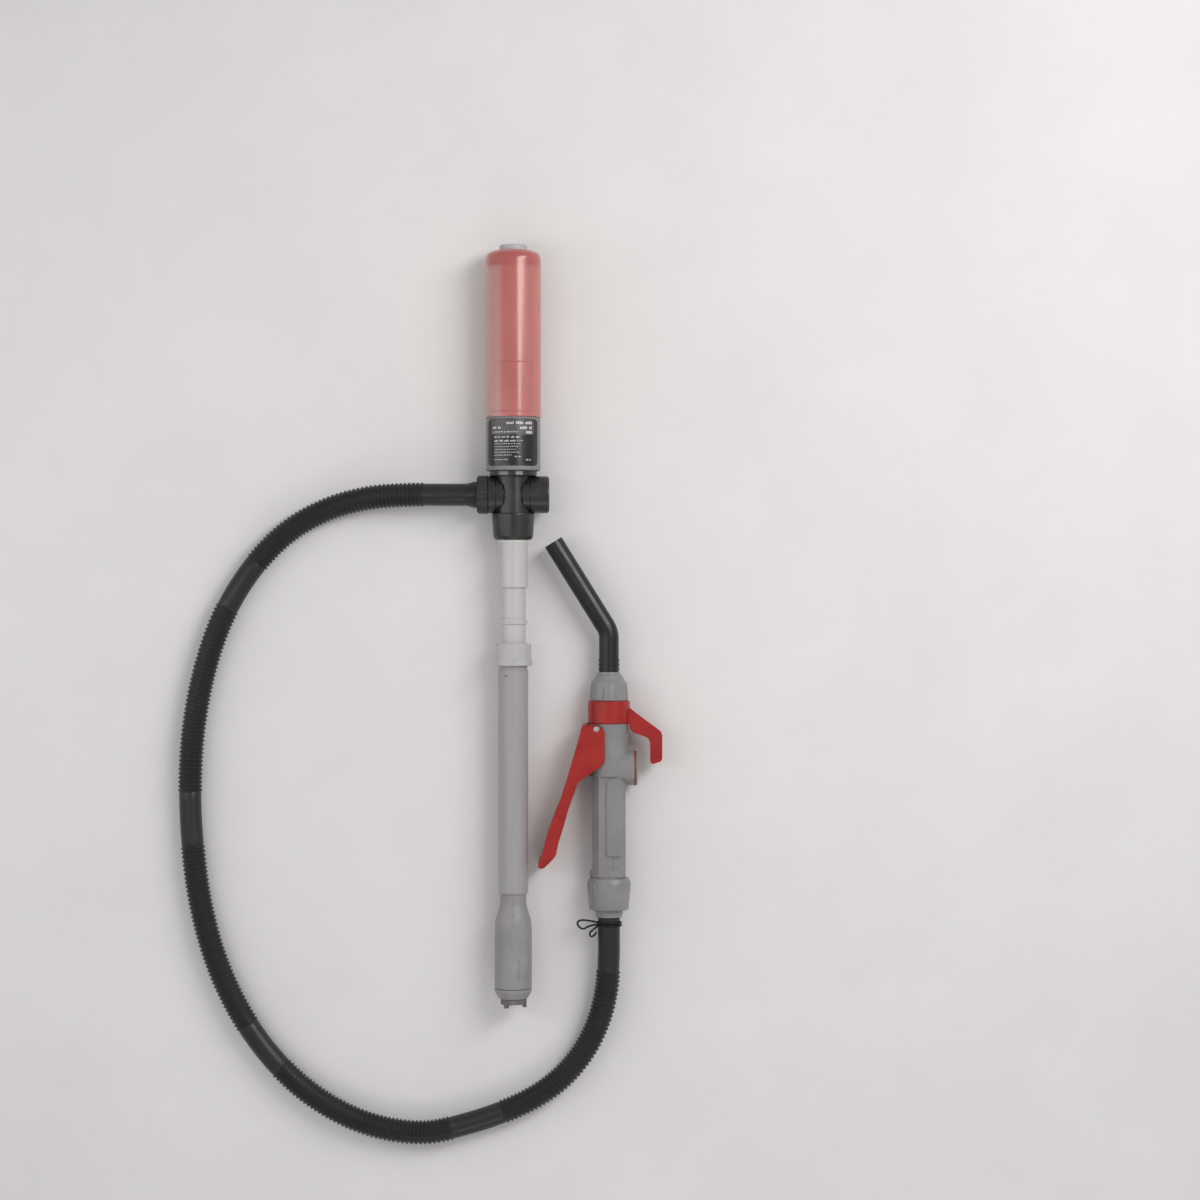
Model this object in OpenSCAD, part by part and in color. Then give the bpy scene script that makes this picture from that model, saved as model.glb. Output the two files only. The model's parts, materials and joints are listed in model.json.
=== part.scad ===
// Telescopic battery-powered fuel transfer pump with a hose and a trigger nozzle,
// lying flat: the pump's axis runs along Y with its switch end at +Y, the nozzle lies
// beside it on the +X side, and the floor is Z = 0.

/* [Pump] */
// Length of the pump, switch to feet, with the tube pushed in
pump_len = 597; // [590:1:605]
// Outside diameter of the battery cover
cover_d = 43.5; // [43:0.1:44.5]
// Outside diameter of the lower case
case_d = 42.5; // [42:0.1:42.8]
// Outside diameter of the discharge head's barrel
head_d = 27; // [26.5:0.1:28]
// Outside diameter of the fixed inner tube
inner_tube_d = 19.5; // [19.2:0.1:19.6]
// Outside diameter of the sliding lower tube
lower_tube_d = 23.5; // [23.3:0.1:23.7]
// Outside diameter of the motor housing
motor_housing_d = 29.2; // [29:0.1:30]

/* [Batteries] */
// Diameter of a D cell
cell_d = 33.2; // [32.3:0.1:34]
// Length of a D cell
cell_len = 61.5; // [59.5:0.1:61.5]

/* [Nozzle] */
// Distance from the pump's axis to the nozzle's axis
nozzle_gap = 75; // [75:1:78]
// Outside diameter of the spout
spout_d = 15.5; // [15:0.1:15.8]
// Bend of the spout, in degrees
spout_bend = 31.9; // [30:0.1:33]
// Outside diameter of the nozzle body's upper barrel
nozzle_d = 30.4; // [30:0.1:30.4]

/* [Hose] */
// Outside diameter of the corrugated hose
hose_d = 19; // [18.6:0.1:19.4]
// Outside diameter of the smooth cuffs at the hose's ends
cuff_d = 17.4; // [17:0.1:17.6]

/* [Hidden] */
$fn = 64;

// Frame: the origin is below the middle of the box round everything but the hose.
hose_nut_end = 28.2;          // outer face of the hose nut, left of the pump's axis
hook_reach = 41.8;            // outer face of the hook, right of the nozzle's axis
pump_x = -(nozzle_gap + hook_reach - hose_nut_end) / 2;
nozzle_x = pump_x + nozzle_gap;
top_y = pump_len / 2;
pump_z = cover_d / 2;
inlet_nut_r = 17.25;
nozzle_z = inlet_nut_r;
slip = 0.05;                  // gap between fitted pieces
free = 0.3;                   // gap between pieces that move past each other

// Stations along the pump, counted down from the switch's top.
dome_s = 4;                   // crown of the battery cover
cover_end_s = 135;
case_end_s = 177;
neck_end_s = 181;
port_s = 195.5;               // axis of the two side ports
head_end_s = 210;
collar_end_s = 231;
washer_end_s = 233;
sleeve_end_s = 268.5;
stop_ring_s = 293;
lock_s = 312;
lock_end_s = 329.5;
tube_top_s = 318;
inner_end_s = 480;
tube_end_s = 508;
shoulder_s = 520;
base_s = 582;
base_end_s = 590;
port_r = 12;                  // thread of the side ports
port_ring_r = 14.5;
bore_r = 7;                   // waterway through the side port
barb_bore_r = 5.2;
tray_r = 19;
tray_in_r = 17.1;
cover_in_r = cover_d / 2 - 2.1;
case_in_r = tray_r + slip;
cells_s = 21;
spigot_r = 12.5;              // head's spigot through the case floor
inner_r = inner_tube_d / 2;
sleeve_r = 11.5;
lower_r = lower_tube_d / 2;
lower_in_r = inner_r + 0.45;
housing_r = motor_housing_d / 2;
housing_in_r = 12.8;
can_r = 10.4;
can_s = 536;
can_end_s = 566;
shaft_r = 1.0;
impeller_s = 575;

// Stations along the nozzle, on the same scale.
spout_turn_s = 308;           // where the spout starts to bend
spout_turn_r = 18;
spout_leg = 77.5;
nut_s = 334.5;
nut_end_s = 357;
hook_end_s = 375;
valve_s = 410;
barrel_end_s = 416;
body_end_s = 495;
inlet_s = 490;
inlet_end_s = 521;
hose_end_s = 527;
pivot_u = -9.7;
pivot_s = 378.5;
pin_r = 2.4;
cheek_in = nozzle_d / 2 + 0.25;
cheek_out = 17;
stem_r = 2;
seat_u = 7;

// Places a piece on the pump's axis: X is right, Y is the front, Z runs down the pump.
module on_pump() { translate([pump_x, top_y, pump_z]) rotate([90, 0, 0]) children(); }
module on_nozzle() { translate([nozzle_x, top_y, nozzle_z]) rotate([90, 0, 0]) children(); }
// A turned piece, from an outline of [radius, station] points.
module turned_piece(outline) { rotate_extrude() polygon(outline); }
// A tube from station a to station b.
module ring(r_in, r_out, a, b) { turned_piece([[r_in, a], [r_out, a], [r_out, b], [r_in, b]]); }
module rod(r, a, b) { translate([0, 0, a]) cylinder(r = r, h = b - a); }
// A rod or a tube across the pump at a station, from u = a to u = b.
module cross_rod(r, a, b, s) { translate([a, 0, s]) rotate([0, 90, 0]) cylinder(r = r, h = b - a); }
module cross_ring(r_in, r_out, a, b, s) {
    translate([a, 0, s]) rotate([0, 90, 0]) rotate_extrude()
        polygon([[r_in, 0], [r_out, 0], [r_out, b - a], [r_in, b - a]]);
}
module o_ring(r, wire, s) {
    translate([0, 0, s]) rotate_extrude() translate([r, 0]) circle(r = wire, $fn = 24);
}
// A rounded rectangle on the u-s plane, thickened towards the front.
module front_pad(u1, u2, s1, s2, corner, y1, y2) {
    translate([0, y2, 0]) rotate([90, 0, 0]) linear_extrude(y2 - y1) {
        translate([u1 + corner, s1]) square([u2 - u1 - 2 * corner, s2 - s1]);
        translate([u1, s1 + corner]) square([u2 - u1, s2 - s1 - 2 * corner]);
        for (u = [u1 + corner, u2 - corner], s = [s1 + corner, s2 - corner])
            translate([u, s]) circle(r = corner);
    }
}

// ---- Case and batteries ----
module lower_case() {
    r = case_d / 2;
    color("#8d8b8c") on_pump() turned_piece([
        [case_in_r, cover_end_s + 0.4], [r, cover_end_s + 0.4], [r, case_end_s - 0.8],
        [r - 0.8, case_end_s], [spigot_r + slip, case_end_s], [spigot_r + slip, case_end_s - 2.4],
        [case_in_r, case_end_s - 2.4]]);
}
module case_label() {
    r = case_d / 2;
    color("#1d1b1c") on_pump() intersection() {
        ring(r, r + 0.35, 137, 173.5);
        front_pad(-19.2, 19.2, 137, 173.5, 3, 5, 30);
    }
}
module battery_tray() {
    wall = tray_r - tray_in_r;
    window_w = 14;             // slot down the front that shows the cells
    color("#cfcac6") on_pump() difference() {
        union() {
            ring(tray_in_r, tray_r, 20, 158);
            rod(tray_r, 154, 158);
        }
        translate([-6, 6, 24]) cube([window_w, 20, 103]);
        translate([-1.6, -tray_r - 1, 22]) cube([3.2, wall + 0.6, 132]);
        o_ring(tray_r, 0.62, 131);
    }
}
module cell(s) {
    can = cell_d / 2 - 0.2;
    color("#b9b7b3") on_pump() turned_piece([
        [0, s], [4.6, s], [4.6, s + 1.6], [can - 1.2, s + 1.6], [can, s + 2.8],
        [can, s + cell_len - 1.2], [can - 1, s + cell_len - 0.2], [11, s + cell_len - 0.2],
        [10.4, s + cell_len - 0.02], [0, s + cell_len - 0.02]]);
}
module battery_upper() { cell(cells_s); }
module battery_lower() { cell(cells_s + cell_len); }
module tray_spring() {
    start = cells_s + 2 * cell_len;
    color("#b8b6ae") on_pump() {
        ring(3.2, 9, start, start + 0.6);
        for (turn = [0:3]) let (taper = turn * 0.4, rise = start + turn * 2)
            ring(7.6 - taper, 9 - taper, rise + 1.6, rise + 2.6);
        ring(4.4, 9, start + 9, 154);
    }
}
module return_strip() {
    color("#c9a24e") on_pump() translate([-1.4, -tray_r + 0.7, 22.2]) cube([2.8, 0.5, 131.6]);
}
module cover_seal() { color("#222222") on_pump() o_ring(tray_r - 0.22, 0.4, 131); }

module battery_cover() {
    r = cover_d / 2;
    color("#cf5a58") on_pump() difference() {
        turned_piece([
            [11.2, dome_s], [14.5, dome_s + 0.4], [18, dome_s + 1.6], [20.4, dome_s + 3.4],
            [r - 0.3, dome_s + 6], [r, dome_s + 8], [r, cover_end_s], [cover_in_r, cover_end_s],
            [cover_in_r, dome_s + 4.6], [11.2, dome_s + 3.4]]);
    }
}
module switch_carrier() {
    color("#7c2b2b") on_pump() difference() {
        union() {
            ring(7.2, cover_in_r - slip, dome_s + 8, dome_s + 11);
            ring(11.9, 13.4, dome_s + 4.4, dome_s + 8);
            ring(7.2, 9.2, dome_s + 11, dome_s + 13);
        }
        for (side = [-1, 1]) translate([side * 15.6, 0, 0]) rod(1.1, dome_s + 7, dome_s + 12);
    }
}
module top_contact() {
    color("#c9a24e") on_pump() {
        ring(9.3, 14, dome_s + 11, dome_s + 11.5);
        ring(2, 6.8, dome_s + 15.4, dome_s + 16.4);
        ring(4.6, 6.8, dome_s + 13.4, dome_s + 15.4);
    }
}
module carrier_screws() {
    color("#c4c4c4") on_pump() for (side = [-1, 1]) translate([side * 15.6, 0, 0]) {
        rod(1.05, dome_s + 8.4, dome_s + 11.02);
        rod(1.9, dome_s + 11.5, dome_s + 13);
        rod(1.05, dome_s + 11.01, dome_s + 11.51);
    }
}
module switch_button() {
    color("#c9c7c8") on_pump() difference() {
        turned_piece([
            [0, 0], [10.2, 0], [10.9, 0.7], [10.9, dome_s + 4.4], [11.6, dome_s + 4.4],
            [11.6, dome_s + 5.6], [6, dome_s + 5.6], [6, dome_s + 4.6], [0, dome_s + 4.6]]);
        ring(7.4, 8, -0.1, 0.35);
    }
}
module button_spring() {
    pitch = 1.25;
    color("#b8b6ae") on_pump() for (turn = [0:1])
        ring(7.6, 8.8, dome_s + 5.7 + turn * pitch, dome_s + 6.6 + turn * pitch);
}

// ---- Discharge head ----
module neck_ring() {
    color("#39363a") on_pump() ring(spigot_r + slip, 18.5, case_end_s, neck_end_s);
}
module head_lock_nut() {
    color("#d8d5d0") on_pump() difference() {
        translate([0, 0, 169.6]) cylinder(r = 17.2, h = 5, $fn = 6);
        rod(spigot_r + slip, 169, 175);
    }
}
module pump_head() {
    shoulder_r = 14;           // rounds off the barrel towards each port
    shoulder_w = 5.6;
    color("#3a3738") on_pump() difference() {
        union() {
            rod(spigot_r, 166, neck_end_s + 1);
            rod(head_d / 2, neck_end_s, head_end_s);
            rod(13, head_end_s - 1, 222);
            cross_rod(port_r, -24.5, 24, port_s);
            for (side = [-1, 1]) translate([side * 10.6, 0, 0]) intersection() {
                cross_rod(shoulder_r, -shoulder_w / 2, shoulder_w / 2, port_s);
                translate([-shoulder_w, -20, neck_end_s]) cube([2 * shoulder_w, 40, 29]);
            }
        }
        rod(6, 160, 187);
        rod(2.7, 180, 200);
        rod(7.4, 188, 213);
        rod(inner_r + slip, 212, 223);
        o_ring(inner_r + 0.8, 0.78, 217);
        cross_rod(bore_r, -30, 0, port_s);
    }
}
module lead_gland() { color("#26262a") on_pump() ring(2.6, 5.95, 168, 186.5); }
module port_ring() { color("#2c2a2b") on_pump() cross_ring(port_r + slip, port_ring_r, -19.5, -13.6, port_s); }
module hose_nut() {
    color("#333132") on_pump() difference() {
        union() {
            cross_rod(15, -hose_nut_end + 0.9, -19.8, port_s);
            cross_rod(14.2, -hose_nut_end, -19.8, port_s);
        }
        cross_rod(port_r + slip, -27, -19, port_s);
        cross_rod(bore_r, -30, -26, port_s);
        for (k = [0:23]) translate([0, 0, port_s]) rotate([k * 15, 0, 0])
            translate([-26.4, 0, 15.3]) rotate([0, 90, 0]) cylinder(r = 0.7, h = 6);
    }
}
module hose_barb() {
    color("#c9b27a") on_pump() {
        cross_ring(barb_bore_r, 11, -26.9, -24.7, port_s);
        cross_ring(barb_bore_r, bore_r - slip, -24.71, -14, port_s);
        cross_ring(barb_bore_r, bore_r - slip, -hose_nut_end, -26.89, port_s);
    }
}
module port_cap() {
    cap_u = 13.6;              // its face, just clear of the head's shoulder
    color("#2f2c2d") on_pump() difference() {
        union() {
            cross_rod(port_ring_r, cap_u, hose_nut_end - 1, port_s);
            cross_rod(port_ring_r - 0.9, cap_u, hose_nut_end, port_s);
        }
        cross_rod(port_r + slip, cap_u - 1, 25, port_s);
    }
}
module pump_seals() {
    color("#1c1c1c") on_pump() {
        o_ring(inner_r + 0.8, 0.72, 217);
        cross_ring(6, 11.8, 24, 25, port_s);
        o_ring(inner_r - 0.1, 0.44, 475);
    }
}

// ---- Telescopic tube ----
module tube_collar() {
    color("#363334") on_pump() turned_piece([
        [13 + slip, head_end_s], [16.5, head_end_s], [16.6, head_end_s + 2], [15.6, collar_end_s - 2.4],
        [14.4, collar_end_s - 0.5], [13.6, collar_end_s], [sleeve_r + slip, collar_end_s],
        [sleeve_r + slip, 222.1], [13 + slip, 222.1]]);
}
module tube_washer() { color("#e9e8e6") on_pump() ring(sleeve_r + slip, 11.9, collar_end_s, washer_end_s); }
module tube_sleeve() {
    color("#c9c6c7") on_pump() turned_piece([
        [inner_r + slip, 222.2], [sleeve_r, 222.2], [sleeve_r, sleeve_end_s - 3],
        [sleeve_r + 0.3, sleeve_end_s - 2.4], [sleeve_r + 0.3, sleeve_end_s - 0.6],
        [sleeve_r - 0.4, sleeve_end_s], [inner_r + slip, sleeve_end_s]]);
}
module inner_tube() {
    color("#c4c1c2") on_pump() difference() {
        ring(inner_r - 1.5, inner_r, 212.2, inner_end_s);
        o_ring(inner_r, 0.62, 475);
    }
}
module stop_ring() {
    color("#cdcacb") on_pump() turned_piece([
        [inner_r + slip, stop_ring_s], [10.6, stop_ring_s], [11, stop_ring_s + 0.5], [11, stop_ring_s + 1.7],
        [10.7, stop_ring_s + 2], [11, stop_ring_s + 2.3], [11, stop_ring_s + 3.5], [10.6, stop_ring_s + 4],
        [inner_r + slip, stop_ring_s + 4]]);
}
module guide_ring() { color("#e2e0dc") on_pump() ring(inner_r, inner_r + 0.2, 464, 472); }
module motor_cable() {
    color("#2b2b30") on_pump() {
        rod(2.5, 160, 240);
        turned_piece([[0, 239], [2.5, 239], [5.4, 244], [5.4, 500], [2.5, 505], [0, 505]]);
        rod(2.5, 504, can_s - 1.5);
    }
}
module lower_tube() {
    color("#a3a0a1") on_pump() difference() {
        union() {
            turned_piece([
                [lower_in_r, tube_top_s], [11.2, tube_top_s], [11.2, 333], [lower_r, 333],
                [lower_r, tube_end_s - 1.5], [lower_r - 0.4, tube_end_s - 0.3],
                [lower_r - 1, tube_end_s], [lower_in_r, tube_end_s]]);
            translate([-5.5, 9, 487.5]) rotate([-90, 0, 0]) cylinder(r = 1, h = 2, $fn = 24);
        }
        translate([-6.8, 9.4, 337]) cube([2.6, 4, 1]);
        rod(lower_in_r, 486, 489);
    }
}
module grip_ring() {
    color("#e6e4df") on_pump() difference() {
        ring(inner_r + 0.25, 11.5, 315.2, 317.9);
        translate([0, -0.6, 310]) cube([20, 1.2, 10]);
    }
}
module lock_collar() {
    color("#b4b1b2") on_pump() difference() {
        turned_piece([
            [11.6, lock_s], [13.4, lock_s], [14, lock_s + 0.8], [14, lock_end_s - 5.6],
            [14.9, lock_end_s - 4.6], [14.9, lock_end_s - 0.7], [14.4, lock_end_s],
            [11.2 + free, lock_end_s], [11.2 + free, lock_s + 5.9], [11.8, lock_s + 5.9],
            [11.8, lock_s + 3], [inner_r + 0.35, lock_s + 3], [inner_r + 0.35, lock_s + 2]]);
        for (k = [0:7]) rotate(22.5 + k * 45) translate([14.75, 0, 0])
            rod(0.95, lock_s + 3, lock_end_s - 6.2);
        for (side = [-1, 1]) translate([side * 11.4 - 1.1, -8, lock_s - 1]) cube([2.2, 16, 2.4]);
    }
}

// ---- Motor and pump end ----
module motor_housing() {
    neck_r = 10.25;
    color("#969394") on_pump() difference() {
        turned_piece([
            [8, 498], [lower_in_r - slip, 498], [lower_in_r - slip, tube_end_s], [neck_r, tube_end_s],
            [neck_r, shoulder_s - 4], [10.9, shoulder_s - 1.5], [12.4, shoulder_s + 3.8],
            [13.4, shoulder_s + 6.8], [14.2, shoulder_s + 10.8], [housing_r, shoulder_s + 18],
            [housing_r, base_s - 0.4], [housing_r - 0.5, base_s], [housing_in_r, base_s],
            [housing_in_r, 531], [8, shoulder_s + 2]]);
        translate([3.9, housing_r - 1.4, 558]) cube([2.2, 4, 16]);
    }
}
module housing_base() {
    color("#918e8f") on_pump() difference() {
        turned_piece([
            [housing_in_r - 1.9, base_s - 3.5], [housing_in_r - slip, base_s - 3.5],
            [housing_in_r - slip, base_s + 0.3], [housing_r - 0.5, base_s + 0.3], [housing_r, base_s + 0.8],
            [housing_r - 0.3, base_s + 3], [11.4, base_end_s], [9.9, base_end_s], [9.9, base_end_s - 1.6],
            [6, base_end_s - 1.6], [6, base_end_s - 3.8], [housing_in_r - 1.9, base_end_s - 3.8]]);
    }
}
module strainer() {
    feet = 3;
    feet_turn = 5.5;
    foot_s = base_end_s + 0.3;
    color("#6f6c6d") on_pump() difference() {
        union() {
            ring(8.2, 9.8, base_end_s - 1.5, 594.4);
            rod(9.8, 592.8, 594.4);
            for (k = [0:feet - 1]) rotate(feet_turn + k * 360 / feet)
                translate([7.4, -1.4, foot_s]) cube([3, 2.8, pump_len - foot_s]);
        }
        for (u = [-6:3:6], v = [-6:3:6]) if (norm([u, v]) < 7.2) translate([u, v, 0]) rod(0.9, 592, 595);
    }
}
module motor_can() {
    color("#b5b3ae") on_pump() difference() {
        union() {
            ring(can_r - 0.8, can_r, can_s, can_end_s);
            rod(can_r, can_s, can_s + 1.2);
            rod(can_r, can_end_s - 1.2, can_end_s);
            rod(3, can_end_s - 0.5, can_end_s + 1.5);
            for (k = [0:2]) rotate(30 + k * 120) translate([can_r - 0.3, -1, can_s + 2])
                cube([housing_in_r - can_r + 0.2, 2, 8]);
        }
        rod(shaft_r + 0.05, can_s - 1, can_end_s + 3);
    }
}
module motor_magnets() {
    color("#4b4a48") on_pump() for (side = [30, 210]) rotate(side) translate([0, 0, can_s + 4])
        rotate_extrude(angle = 120) translate([7.4, 0]) square([2.1, can_end_s - can_s - 8]);
}
module shaft_seal() { color("#1f1f1f") on_pump() ring(shaft_r + 0.05, 4.2, can_end_s + 1.6, can_end_s + 4.6); }
module motor_shaft() {
    color("#c2c2c2") on_pump() {
        rod(shaft_r, can_s + 1.4, 580);
        rod(6.6, can_s + 6, can_end_s - 6);
        rod(3.4, can_s + 2.6, can_s + 6.01);
    }
}
module impeller() {
    color("#dedbd3") on_pump() difference() {
        union() {
            rod(3, impeller_s, impeller_s + 5.6);
            rod(10.2, impeller_s, impeller_s + 1.2);
            for (k = [0:4]) rotate(k * 72) translate([2, -0.6, impeller_s + 1]) cube([7.8, 1.2, 4]);
        }
        rod(shaft_r, impeller_s - 1, impeller_s + 5);
    }
}

// ---- Nozzle ----
// The spout's path as a round bar: straight, bent, and a long leg. The straight ends
// take in the ends of the bend.
module spout_bar(r, low_s, leg) {
    take_in = 0.5;
    rod(r + slip, spout_turn_s - take_in, low_s);
    translate([-spout_turn_r, 0, spout_turn_s]) rotate([90, 0, 0]) rotate([0, 0, -spout_bend])
        rotate_extrude(angle = spout_bend) translate([spout_turn_r, 0]) circle(r = r);
    translate([-spout_turn_r, 0, spout_turn_s]) rotate([0, spout_bend, 0]) translate([spout_turn_r, 0, -leg])
        cylinder(r = r + slip, h = leg + take_in);
}
module spout() {
    color("#171516") on_nozzle() difference() {
        union() {
            spout_bar(spout_d / 2, 350, spout_leg);
            for (k = [0:2]) ring(spout_d / 2 - 1, spout_d / 2 + 0.5, 324.4 + k * 3.3, 326.4 + k * 3.3);
            rod(11.8, 348.4, 350.4);
        }
        spout_bar(spout_d / 2 - 1.6, 351, spout_leg + 1);
    }
}
module spout_nut() {
    lobes = 8;
    color("#908d8e") on_nozzle() difference() {
        turned_piece([
            [spout_d / 2 + 0.1, 340.6], [spout_d / 2 + 0.55, nut_s], [8.9, nut_s],
            [9, nut_s + 2], [10.5, nut_s + 2.6], [12.25, nut_s + 6.5], [14.2, nut_s + 8.5],
            [15.2, nut_end_s - 2], [15.2, nut_end_s - 0.6], [14.7, nut_end_s],
            [12 + slip, nut_end_s], [12 + slip, 348.3], [spout_d / 2 + 0.1, 348.3]]);
        for (k = [0:lobes - 1]) rotate((k + 0.5) * 360 / lobes) translate([17.6, 0, 0])
            rod(3.6, 339, nut_end_s - 2);
    }
}
module nozzle_seals() {
    color("#1c1c1c") on_nozzle() {
        ring(7.9, 11.6, 350.4, 351.95);
        ring(6.1, 10.8, 505.05, 506.4);
        translate([-12.4, 0, valve_s]) rotate([0, 90, 0]) rotate_extrude() translate([stem_r + 0.85, 0])
            circle(r = 0.7, $fn = 24);
    }
}
// An outline with its outer corners rounded.
module rounded(r) { offset(r = r, $fn = 24) offset(delta = -r) children(); }
module hook_collar() {
    depth = 12;
    hook = [
        [12, 361], [17, 363], [20.5, 366], [26.5, 370.5], [32.5, 375], [37.5, 378.6], [40.6, 381],
        [hook_reach, 384], [hook_reach, 402.5], [40.6, 404.6], [35, 406.6], [33.2, 406.2], [32.4, 404.4],
        [32.4, 390.4], [31.4, 387.4], [29.5, 385.6], [25.5, 384], [19.5, 382.2], [16.4, 379], [16.1, 376],
        [15.6, 374.9], [12, 374.9]];
    color("#b3211c") on_nozzle() difference() {
        union() {
            turned_piece([
                [12 + slip, nut_end_s + 0.1], [15.9, nut_end_s + 0.1], [16.5, nut_end_s + 0.9],
                [16.5, hook_end_s - 0.9], [15.9, hook_end_s - 0.1], [12 + slip, hook_end_s - 0.1]]);
            translate([0, depth / 2, 0]) rotate([90, 0, 0]) linear_extrude(depth)
                rounded(1.6) polygon(hook);
        }
        rod(12 + slip, 350, 380);
    }
}
// The hole for the trigger's pin, right through.
module pivot_bore(r) {
    translate([pivot_u, 0, pivot_s]) rotate([90, 0, 0]) translate([0, 0, -20]) cylinder(r = r, h = 40);
}
module nozzle_body() {
    half = 13;
    section = [
        [-half, -6.5], [-8, -12.4], [-2, -half], [8, -half], [half, -8], [half, 8], [8, half], [-2, half],
        [-8, 12.4], [-half, 6.5]];
    color("#8e8c8d") on_nozzle() difference() {
        union() {
            rod(12, 352, hook_end_s + 1);
            rod(nozzle_d / 2, hook_end_s, barrel_end_s);
            translate([0, 0, barrel_end_s - 6]) linear_extrude(body_end_s - barrel_end_s + 6) polygon(section);
            rod(11, body_end_s - 1, 505);
            cross_rod(13.5, 0, 20, valve_s);
            translate([-15.4, -4, 490.5]) cube([4, 8, 4.4]);
        }
        rod(6, 350, valve_s);
        cross_rod(stem_r + 0.07, -18, -7, valve_s);
        cross_rod(stem_r + 1.6, -13.4, -11.4, valve_s);
        cross_rod(6.5, -8, 4, valve_s);
        cross_rod(4.6, 3, seat_u + 1, valve_s);
        cross_rod(9.2, seat_u, 22, valve_s);
        translate([7.4, 0, 0]) rod(3.5, 417, 487);
        rod(6, 483, 506);
        pivot_bore(pin_r + 0.02);
        front_pad(2.4, 9.2, 479.5, 488.5, 0.8, half - 0.8, half + 2);
    }
}
module front_panel() {
    color("#9a9899") on_nozzle() union() {
        front_pad(-1.8, 11.2, 424, 478, 2, 13, 14.2);
        translate([4.7, 13, 424]) rotate([-90, 0, 0]) intersection() {
            cylinder(r = 6.5, h = 1.2);
            translate([-6.5, 0, 0]) cube([13, 6.5, 2]);
        }
    }
}
module pivot_pin() {
    color("#c9c7c6") on_nozzle() translate([pivot_u, 0, pivot_s]) rotate([90, 0, 0])
        translate([0, 0, -cheek_out]) cylinder(r = pin_r, h = 2 * cheek_out);
}
module side_cap() {
    color("#8a8889") on_nozzle() translate([0, 0, valve_s]) rotate([0, 90, 0]) turned_piece([
        [0, 18.4], [9.1, 18.4], [9.1, 20], [12, 21.2], [13.4, 21.2], [13.4, 21.8],
        [12.6, 22.4], [9, 22.8], [0, 22.9]]);
}
module side_cap_ring() { color("#b3211c") on_nozzle() cross_ring(12.05, 13.8, 20, 21.2, valve_s); }
module inlet_nut() {
    flutes = 10;
    color("#8f8d8e") on_nozzle() difference() {
        turned_piece([
            [11 + slip, inlet_s + 5.1], [13.4, inlet_s + 5.1], [15.6, inlet_s + 6.4],
            [inlet_nut_r, inlet_s + 10],
            [16.9, inlet_s + 14], [15.6, inlet_end_s - 1], [14.8, inlet_end_s], [9.4, inlet_end_s],
            [9.4, inlet_end_s - 2.4], [11 + slip, inlet_end_s - 2.4]]);
        for (k = [0:flutes - 1]) rotate((k + 0.5) * 360 / flutes) translate([18.6, 0, 0]) rod(2.2, 499.5, 523);
    }
}
module hose_ferrule() {
    color("#9c9a9b") on_nozzle() turned_piece([
        [bore_r, inlet_end_s], [11.25, inlet_end_s], [11.25, inlet_end_s + 1],
        [10.3, hose_end_s], [bore_r, hose_end_s]]);
}
module nozzle_barb() {
    color("#c9b27a") on_nozzle() {
        ring(barb_bore_r, 10.8, 506.5, 509);
        ring(barb_bore_r, bore_r - slip, 508.99, hose_end_s);
    }
}
module trigger() {
    web = 2.4;
    left = [
        [-19, 375.4], [-20.8, 376.4], [-21.6, 378.4], [-23.2, 385], [-27.5, 400], [-32.5, 417],
        [-37.5, 432.5], [-42.5, 445], [-47.5, 458], [-51.2, 472], [-53.2, 479.8]];
    cheek = concat(left, [
        [-55, 482], [-55.4, 486], [-54, 488], [-50.5, 487.2], [-43, 479.6], [-41.2, 476.8], [-39.5, 468],
        [-35.5, 455], [-31.5, 441], [-27.5, 430], [-24.3, 420.4], [-12, 412], [-5.5, 407.2], [-3.5, 404],
        [-3.5, 381.4], [-5, 378], [-7.4, 376], [-10.5, 375.4]]);
    pocket = concat([for (p = left) p + [web, 0]],
        [[-50.4, 481.4], [-30, 490], [20, 430], [20, 360], [-16.6, 360]]);
    color("#b3211c") on_nozzle() difference() {
        translate([0, cheek_out, 0]) rotate([90, 0, 0]) linear_extrude(2 * cheek_out)
            rounded(2) polygon(cheek);
        translate([0, cheek_in, 0]) rotate([90, 0, 0]) linear_extrude(2 * cheek_in) polygon(pocket);
        pivot_bore(pin_r + 0.05);
    }
}
module valve_stem() {
    color("#d9d6d0") on_nozzle() {
        cross_rod(stem_r, -25.5, seat_u + 3, valve_s);
        translate([-25.5, 0, valve_s]) sphere(r = stem_r);
        cross_rod(5.8, seat_u + 0.1, seat_u + 1, valve_s);
        cross_rod(5.2, seat_u + 0.9, seat_u + 1.8, valve_s);
    }
}
module valve_spring() {
    color("#b8b6ae") on_nozzle() for (turn = [0:3])
        cross_ring(3.4, 4.6, seat_u + 2 + turn * 2.4, seat_u + 3.1 + turn * 2.4, valve_s);
}

// ---- Hose ----
module hose_clamp() {
    wire = 1.2;
    ring_r = cuff_d / 2 + 0.25;
    color("#242426") on_nozzle() {
        for (s = [530.4, 532.4]) ring(ring_r, ring_r + wire, s, s + wire);
        translate([-10.1, -wire / 2, 531.3]) cube([1.1, wire, 1.6]);
        translate([-24.4, -wire / 2, 530.5]) cube([15.4, wire, wire - 0.1]);
        translate([-9.2, -wire / 2, 533.5]) rotate([0, 45, 0]) translate([-7.6, 0, -wire])
            cube([7.6, wire, wire]);
    }
}
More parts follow.
